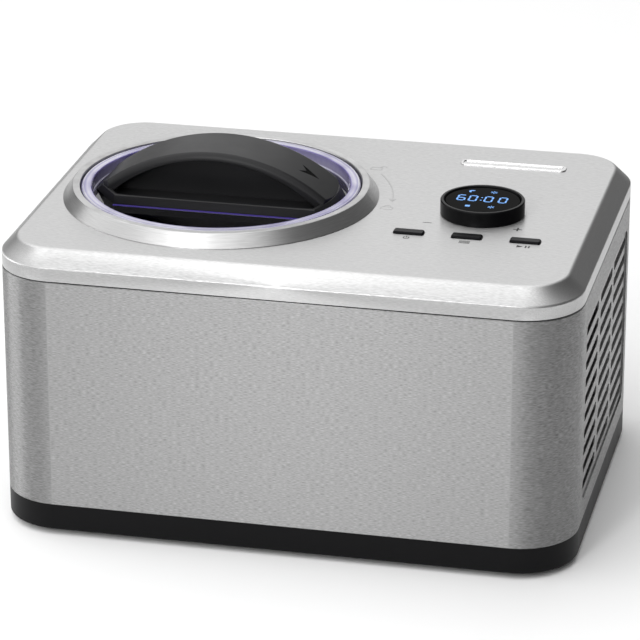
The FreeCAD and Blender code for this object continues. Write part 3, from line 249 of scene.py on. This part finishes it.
# ------------------------------------------------------------------ the materials
STEEL = (0.60, 0.60, 0.60)
# One steel in lit and shaded copies: painted shade darkens it on the upright wrap and the rear panel,
# and painted light brightens it on the deck and the ring.
SHADED_WRAP_STEEL, LIT_DECK_STEEL, LIT_RING_STEEL = (shade(STEEL, factor) for factor in (0.47, 0.79, 0.86))
WRAP_GRAIN = (310.0, 310.0, 2500.0)      # scratches that run level round the case
DECK_GRAIN = (290.0, 2500.0, 2500.0)     # scratches that run from left to right
PANEL_GRAIN = (300.0, 300.0, 2300.0)
# Colours of the lid from the plate outwards: the plate's tint, then light and dark bands over the rim,
# which are painted highlights of its steps.
LID_TINTS_AND_HIGHLIGHTS = (
    (86.6, (0.06, 0.05, 0.12)), (87.3, (0.80, 0.79, 0.92)), (88.2, (0.16, 0.12, 0.42)),
    (89.0, (0.62, 0.59, 0.82)), (91.2, (0.86, 0.85, 0.95)), (92.8, (0.46, 0.43, 0.70)),
    (93.8, (0.92, 0.92, 0.97)), (94.8, (0.55, 0.53, 0.70)),
)
MATERIALS = {
    "steel_wrap": brushed("steel_wrap", SHADED_WRAP_STEEL, WRAP_GRAIN, 0.45, 0.22, "Z", 0.9, 0.06),
    "steel_deck": brushed("steel_deck", LIT_DECK_STEEL, DECK_GRAIN, 0.38, 0.1, "Y", 0.8, 0.02),
    "steel_ring": brushed("steel_ring", LIT_RING_STEEL, (90.0, 90.0, 2600.0), 0.36, 0.08, "Z"),
    "grille": brushed("grille", shade(STEEL, 0.43), PANEL_GRAIN, 0.42, 0.22, "Z", 0.8),
    "rear": brushed("rear", SHADED_WRAP_STEEL, PANEL_GRAIN, 0.42, 0.22, "Z", 0.8),
    "black_base": moulded("black_base", (0.004, 0.004, 0.0045), 0.42, Specular_IOR_Level=0.11),
    "rubber": moulded("rubber", (0.012, 0.012, 0.012), 0.8, 1500.0, 0.3, Specular_IOR_Level=0.2),
    "handle": moulded("handle", (0.011, 0.011, 0.012), 0.38, 2200.0, 0.12, Specular_IOR_Level=0.24),
    "knob": moulded("knob", (0.003, 0.003, 0.0035), 0.30, 2200.0, 0.08, Specular_IOR_Level=0.10),
    "button": moulded("button", (0.004, 0.004, 0.005), 0.26, 2200.0, 0.06, Specular_IOR_Level=0.07),
    "lens": moulded("lens", (0.002, 0.002, 0.002), 0.08, 900.0, 0.01, 0.005, Specular_IOR_Level=0.006),
    "print": moulded("print", (0.03, 0.03, 0.03), 0.6, 3000.0, 0.1, Specular_IOR_Level=0.3),
    # Near black for the floor of the arrow's recess: painted shade.
    "recess_painted_shade": moulded("recess_painted_shade", (0.002, 0.002, 0.002), 0.8, 3000.0, 0.1,
                          Specular_IOR_Level=0.1),
    "badge": plain_metal("badge", (0.70, 0.70, 0.70), 0.26, 900.0, 0.04),
    "etch": plain_metal("etch", shade(STEEL, 0.80), 0.45, 900.0),
    "glow": glowing("glow", (0.14, 0.38, 0.88), 1.0),
    # The clear plate's violet edge, with the reflection along it painted in.
    "violet": moulded("violet", (0.05, 0.03, 0.24), 0.2, 900.0, 0.05, Coat_Weight=0.5),
    "lid": tinted_lid("lid", LID_TINTS_AND_HIGHLIGHTS, LID_C),
    "silicone": moulded("silicone", (0.30, 0.30, 0.33), 0.5, 1200.0, 0.1),
    "bowl": brushed("bowl", (0.62, 0.62, 0.63), (60.0, 60.0, 2400.0), 0.34, 0.08, "Z"),
    "chamber": brushed("chamber", (0.5, 0.5, 0.52), (60.0, 60.0, 2000.0), 0.4, 0.08, "Z"),
    "paddle": moulded("paddle", (0.75, 0.75, 0.74), 0.42, 1600.0, 0.1),
    "foam": moulded("foam", (0.66, 0.62, 0.5), 0.9, 700.0, 0.5, 0.1),
    "copper": plain_metal("copper", (0.72, 0.36, 0.22), 0.3),
    "zinc": plain_metal("zinc", (0.62, 0.62, 0.6), 0.32),
    "fins": plain_metal("fins", (0.5, 0.5, 0.5), 0.42),
    "enamel": moulded("enamel", (0.012, 0.012, 0.012), 0.2, 300.0, 0.1, 0.03),
    "board": moulded("board", (0.03, 0.16, 0.07), 0.35, 800.0, 0.2),
    "ivory": moulded("ivory", (0.7, 0.68, 0.6), 0.45),
    "grey_plastic": moulded("grey_plastic", (0.09, 0.09, 0.1), 0.5),
    "wire": moulded("wire", (0.05, 0.05, 0.06), 0.5),
    "bronze": plain_metal("bronze", (0.5, 0.33, 0.16), 0.45),
}
WORN_BY = {
    "steel_wrap": ["housing_wrap"],
    "steel_deck": ["top_cover"],
    "badge": ["blank_badge"],
    "steel_ring": ["lid_ring_trim"],
    "grille": ["left_grille", "right_grille"],
    "rear": ["rear_panel"],
    "black_base": ["base_tray", "inner_frame", "cable_gland"],
    "rubber": ["rubber_feet", "compressor_grommets", "shaft_seal", "chamber_seal"],
    "handle": ["lid_handle"],
    "knob": ["knob_ring", "display_housing"],
    "button": list(BUTTONS),
    "lens": ["display_lens"],
    "lid": ["lid_cover"],
    "silicone": ["lid_gasket"],
    "bowl": ["bowl"],
    "chamber": ["cooling_chamber"],
    "paddle": ["mixing_paddle"],
    "foam": ["insulation_jacket"],
    "copper": ["evaporator_coil", "filter_drier", "capillary_tube", "suction_line",
               "discharge_line", "liquid_line"],
    "zinc": ["rear_panel_screws", "foot_screws", "board_screws", "lid_screws", "gearbox_screws",
             "compressor_bolts", "drive_shaft", "idler_pin", "motor_shaft", "motor_pinion",
             "drive_motor", "board_bracket"],
    "fins": ["condenser"],
    "enamel": ["compressor"],
    "board": ["control_board", "power_board"],
    "ivory": ["relay_cover", "terminal_block", "output_gear", "idler_gear"],
    "grey_plastic": ["gearbox_base", "gearbox_cover", "fan_frame", "fan_rotor", "rotary_encoder"],
    "wire": ["wire_harness"],
    "bronze": ["shaft_bushes"],
}
for finish, wearers in WORN_BY.items():
    for wearer in wearers:
        data = NODES[wearer].data
        data.materials.clear()
        data.materials.append(MATERIALS[finish])


# ------------------------------------------------------------------ flat outlines, in millimetres
def bar(x0, y0, x1, y1, width):
    """A straight stroke from one point to another."""
    run = Vector((x1 - x0, y1 - y0)).normalized() * width / 2
    return [(x0 + run.y, y0 - run.x), (x1 + run.y, y1 - run.x),
            (x1 - run.y, y1 + run.x), (x0 - run.y, y0 + run.x)]


def bow(cx, cy, inner, outer, start, end, steps=24):
    """A curved stroke: part of a ring, from one angle to another, in degrees."""
    angles = [math.radians(start + (end - start) * i / steps) for i in range(steps + 1)]
    return ([(cx + outer * math.cos(a), cy + outer * math.sin(a)) for a in angles]
            + [(cx + inner * math.cos(a), cy + inner * math.sin(a)) for a in reversed(angles)])


def shifted(outlines, dx, dy):
    return [[(x + dx, y + dy) for x, y in outline] for outline in outlines]


def digit(lit, wide, tall, thick, lean=0.03):
    """A seven-segment digit about the origin; lit names its segments, a to g from the top round."""
    w, h, t, gap = wide / 2, tall / 2, thick / 2, 0.22
    level = {"a": h - t, "g": 0.0, "d": t - h}
    upright = {"b": (w - t, 0.0, h - t), "c": (w - t, t - h, 0.0),
               "e": (t - w, t - h, 0.0), "f": (t - w, 0.0, h - t)}
    outlines = []
    for name in lit:
        if name in level:
            y, x0, x1 = level[name], t - w + gap, w - t - gap
            outline = [(x0, y), (x0 + t, y - t), (x1 - t, y - t), (x1, y), (x1 - t, y + t),
                       (x0 + t, y + t)]
        else:
            x, y0, y1 = upright[name]
            y0, y1 = y0 + gap, y1 - gap
            outline = [(x, y0), (x + t, y0 + t), (x + t, y1 - t), (x, y1), (x - t, y1 - t),
                       (x - t, y0 + t)]
        outlines.append([(x + lean * y, y) for x, y in outline])
    return outlines


def crystal(size, thick):
    """Six strokes like a snow crystal's, which stop short of the middle so that they don't overlap."""
    inner = 0.28 * size
    return [bar(inner * math.cos(a), inner * math.sin(a), size * math.cos(a), size * math.sin(a), thick)
            for a in [math.radians(60 * k + 30) for k in range(6)]]


def padlock(open_by):
    """A padlock: the outline of its body, and a shackle set aside by open_by millimetres."""
    w, low, high, line = 3.9, -4.4, 0.4, 0.7
    body = [bar(-w, low, w, low, line), bar(-w, high, w, high, line),
            bar(-w, low + line / 2, -w, high - line / 2, line),
            bar(w, low + line / 2, w, high - line / 2, line)]
    return body + [bow(open_by, 1.0, 1.9, 2.6, 0, 180, 14)]


def prism(name, outlines, floor_at, height, finish, body):
    """Thin raised shapes from flat outlines. floor_at gives the height under a point, in metres."""
    sheet = bmesh.new()
    for outline in outlines:
        area = sum(x0 * y1 - x1 * y0 for (x0, y0), (x1, y1) in zip(outline, outline[1:] + outline[:1]))
        ordered = outline if area > 0 else outline[::-1]
        low = [sheet.verts.new((x * MM, y * MM, floor_at(x, y))) for x, y in ordered]
        high = [sheet.verts.new((x * MM, y * MM, floor_at(x, y) + height * MM)) for x, y in ordered]
        sheet.faces.new(high)
        sheet.faces.new(low[::-1])
        for i in range(len(ordered)):
            j = (i + 1) % len(ordered)
            sheet.faces.new((low[i], low[j], high[j], high[i]))
    mesh = bpy.data.meshes.new(name)
    sheet.to_mesh(mesh)
    sheet.free()
    mesh.materials.append(MATERIALS[finish])
    piece = bpy.data.objects.new(name, mesh)
    bpy.context.scene.collection.objects.link(piece)
    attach(piece, body)
    return piece


# ------------------------------------------------------------------ printed and lit marks
SUNK = 0.03                       # how deep a mark's foot sits in its surface
PRINT, ETCH = 0.08, 0.12          # how thick the marks are


def level(z):
    """A flat floor for marks, a little under the surface at z."""
    return lambda x, y: z - SUNK * MM


def display_marks():
    """A clock's four digits and colon, and small symbols above and below them."""
    cx, cy = KNOB_C.x / MM, KNOB_C.y / MM
    zero, six = "abcdef", "acdefg"
    outlines = []
    for lit, x in ((six, -14.7), (zero, -6.9), (zero, 3.7), (zero, 13.4)):
        outlines += shifted(digit(lit, 6.0, 11.2, 1.2), cx + x, cy + 2.0)
    for y in (-0.8, 4.4):
        outlines += shifted([bar(-0.55, 0, 0.55, 0, 1.1)], cx - 1.2, cy + y)
    prism("display_digits", outlines, level(LENS_Z), PRINT, "glow", HOUSING)
    small = shifted([bow(0, 0, 0.9, 2.3, 40, 250, 14)], cx - 9.7, cy + 15.4)
    small += shifted(crystal(2.4, 0.6), cx + 5.0, cy + 16.2)
    small += shifted([bar(-1.6, 0, 1.6, 0, 3.0)], cx - 8.0, cy - 13.2)
    small += shifted(crystal(2.4, 0.6), cx + 7.8, cy - 12.6)
    prism("display_symbols", small, level(LENS_Z), PRINT, "glow", HOUSING)


def deck_marks():
    """Symbols in place of words: power, a list, and start or pause; and minus and plus."""
    below_button = 9.3
    minus_x, plus_x, sign_y = 77.2, 138.2, -30.5
    power = [bow(0, 0, 1.5, 2.15, 125, 415, 20), bar(0, 0.3, 0, 2.7, 0.75)]
    menu = [bar(-3.6, y, 3.6, y, 0.8) for y in (-1.7, 0.0, 1.7)]
    start = [[(-4.2, -2.1), (0.0, 0.0), (-4.2, 2.1)], bar(1.8, -2.0, 1.8, 2.0, 1.0),
             bar(3.9, -2.0, 3.9, 2.0, 1.0)]
    outlines = []
    for symbol, button in zip((power, menu, start), BUTTONS):
        place = middle(button) / MM
        outlines += shifted(symbol, place.x, place.y - below_button)
    outlines += shifted([bar(-3.0, 0, 3.0, 0, 0.8)], minus_x, sign_y)
    cross = [(a * u - b * v, a * v + b * u) for u, v in ((1, 0), (0, 1), (-1, 0), (0, -1))
             for a, b in ((0.55, -0.55), (3.0, -0.55), (3.0, 0.55))]
    outlines += shifted([cross], plus_x, sign_y)
    prism("deck_symbols", outlines, level(DECK_Z), PRINT, "print", HOUSING)


def lock_marks():
    """The lid's way of turning: a closed and an open padlock, with a bow between them."""
    cx, cy = LID_C.x / MM, LID_C.y / MM
    outlines = shifted(padlock(0.0), cx + 115.5, cy - 1.0)
    outlines += shifted(padlock(4.6), cx + 92.5, cy + 76.0)
    path, foot, far, point = 117.0, 7.5, 33.0, 5.2     # the bow's radius, and angles along it
    outlines.append(bow(cx, cy, path - 0.4, path + 0.4, foot, far, 30))
    corners = [(radius, math.radians(angle)) for radius, angle in
               ((path - 2.4, foot), (path + 2.4, foot), (path, point))]
    outlines.append([(cx + radius * math.cos(a), cy + radius * math.sin(a)) for radius, a in corners])
    prism("lock_symbols", outlines, level(DECK_Z), ETCH, "etch", HOUSING)


def lid_marks():
    """The arrow's recess on the arch, with a dark sheet on its floor as painted shade, and violet strips
    along the insert's foot: the clear plate's violet edge, with the reflection along it painted in.
    """
    cx, cy = LID_C.x / MM, LID_C.y / MM
    crown = top_of("lid_handle")
    radius, depth = 123.0, 0.55       # of the arch's top, and of the arrow's floor below it

    def arch(x, y):
        across = x - cx
        return crown - (radius - math.sqrt(radius ** 2 - across ** 2) + depth) * MM

    tail, tip, half = 55.8, 68.0, 5.6
    arrow = [(tail, half), (tail + 3.9, 0.0), (tail, -half), (tip, 0.0)]
    # A dark sheet in the arrow's recess: painted shade.
    prism("arrow_painted_shade", shifted([arrow], cx, cy), arch, 0.3, "recess_painted_shade", "lid_body")
    # Violet strips along the insert's foot: the clear plate's violet edge, with the reflection along it
    # painted in.
    plate = top_of("lid_cover") - 7.9 * MM
    near, far, aside, width = 66.0, 70.0, 38.0, 2.4
    edges = [bar(-near, -aside, far, -aside, width), bar(-far, aside, near, aside, width)]
    prism("lid_edge_reflection_lines", shifted(edges, cx, cy), level(plate), 0.25, "violet",
          "lid_body")


display_marks()
deck_marks()
lock_marks()
lid_marks()


# ------------------------------------------------------------------ stage, light and camera
SKY = 1.04                        # even light from all round
# Soft patches of wall that change the sky: the direction, the cosines of the angles from it where the
# patch starts and where it is full, and the sky's share that is left there.
LOBES = (
    ((-0.30, 0.85, 0.45), 0.55, 0.92, 1.05),    # pale wall behind, to the left
    ((-0.25, -0.85, 0.50), 0.82, 0.97, 1.35),   # pale ceiling in front
    ((0.85, 0.35, 0.40), 0.42, 0.74, 0.13),     # dark wing of the studio, to the right
    ((-0.75, 0.66, -0.05), 0.82, 0.95, 0.06),   # dark corner behind, low on the left
    ((0.80, -0.60, 0.00), 0.68, 0.90, 0.02),    # dark corner in front, low on the right
    ((-0.57, -0.82, 0.00), 0.91, 0.98, 0.20),   # dark gap between the strip and the left light
)
LIGHTS = (                        # name, width and height, watts, place; all face the object's middle
    ("strip", (0.45, 1.8), 18.0, (-0.50, -2.35, 1.3)),
    ("top", (3.2, 3.2), 32.0, (-0.3, -0.1, 2.4)),
    ("left", (1.3, 0.5), 9.0, (-2.3, -0.10, 0.3)),
)
LIT_POINT = Vector((0, 0, 0.1))
AZIMUTH, ELEVATION, DISTANCE = math.radians(12.73), math.radians(21.85), 2.410
LENS, SENSOR = 196.9, 36.0
AIM, AIM_RIGHT, AIM_UP = Vector((0, 0, 0.109)), -0.0029, 0.0043


def put(name, data, place=(0, 0, 0), facing=None):
    """An object in the scene that looks along facing, where that is given."""
    holder = bpy.data.objects.new(name, data)
    bpy.context.scene.collection.objects.link(holder)
    holder.location = place
    if facing is not None:
        holder.rotation_mode = "QUATERNION"
        holder.rotation_quaternion = facing.to_track_quat("-Z", "Y")
    return holder


def lay_floor():
    mesh = bpy.data.meshes.new("floor")
    sheet = bmesh.new()
    bmesh.ops.create_grid(sheet, x_segments=8, y_segments=8, size=9.0)
    sheet.to_mesh(mesh)
    sheet.free()
    mesh.materials.append(paper("floor", (0.93, 0.93, 0.93)))
    put("floor", mesh)


def light_sky():
    """A white sky, multiplied by each of the patches."""
    world = bpy.data.worlds.new("studio")
    bpy.context.scene.world = world
    world.use_nodes = True
    tree = world.node_tree
    where = tree.nodes.new("ShaderNodeTexCoord")
    light = None
    for direction, start, full, share in LOBES:
        toward = tree.nodes.new("ShaderNodeVectorMath")
        toward.operation = "DOT_PRODUCT"
        toward.inputs[1].default_value = Vector(direction).normalized()
        tree.links.new(where.outputs["Generated"], toward.inputs[0])
        fade = tree.nodes.new("ShaderNodeMapRange")
        fade.interpolation_type = "SMOOTHSTEP"
        for key, number in (("From Min", start), ("From Max", full), ("To Min", 1.0), ("To Max", share)):
            fade.inputs[key].default_value = number
        tree.links.new(toward.outputs["Value"], fade.inputs["Value"])
        times = tree.nodes.new("ShaderNodeMath")
        times.operation = "MULTIPLY"
        times.inputs[0].default_value = SKY
        if light:
            tree.links.new(light, times.inputs[0])
        tree.links.new(fade.outputs["Result"], times.inputs[1])
        light = times.outputs["Value"]
    tree.links.new(light, tree.nodes["Background"].inputs["Strength"])
    tree.nodes["Background"].inputs["Color"].default_value = (1.0, 1.0, 1.0, 1.0)


def hang_lights():
    for name, (width, height), watts, place in LIGHTS:
        light = bpy.data.lights.new(name, "AREA")
        light.shape = "RECTANGLE"
        light.size, light.size_y = width, height
        light.energy = watts
        put(name, light, place, LIT_POINT - Vector(place))


def place_camera():
    back = Vector((math.sin(AZIMUTH) * math.cos(ELEVATION), -math.cos(AZIMUTH) * math.cos(ELEVATION),
                   math.sin(ELEVATION)))
    right = Vector((math.cos(AZIMUTH), math.sin(AZIMUTH), 0))
    up = back.cross(right)
    aim = AIM + AIM_RIGHT * right + AIM_UP * up
    data = bpy.data.cameras.new("camera")
    data.lens, data.sensor_width = LENS, SENSOR
    bpy.context.scene.camera = put("camera", data, aim + back * DISTANCE, -back)


lay_floor()
light_sky()
hang_lights()
place_camera()
bpy.context.scene.view_settings.view_transform = "Standard"

bpy.context.view_layer.update()
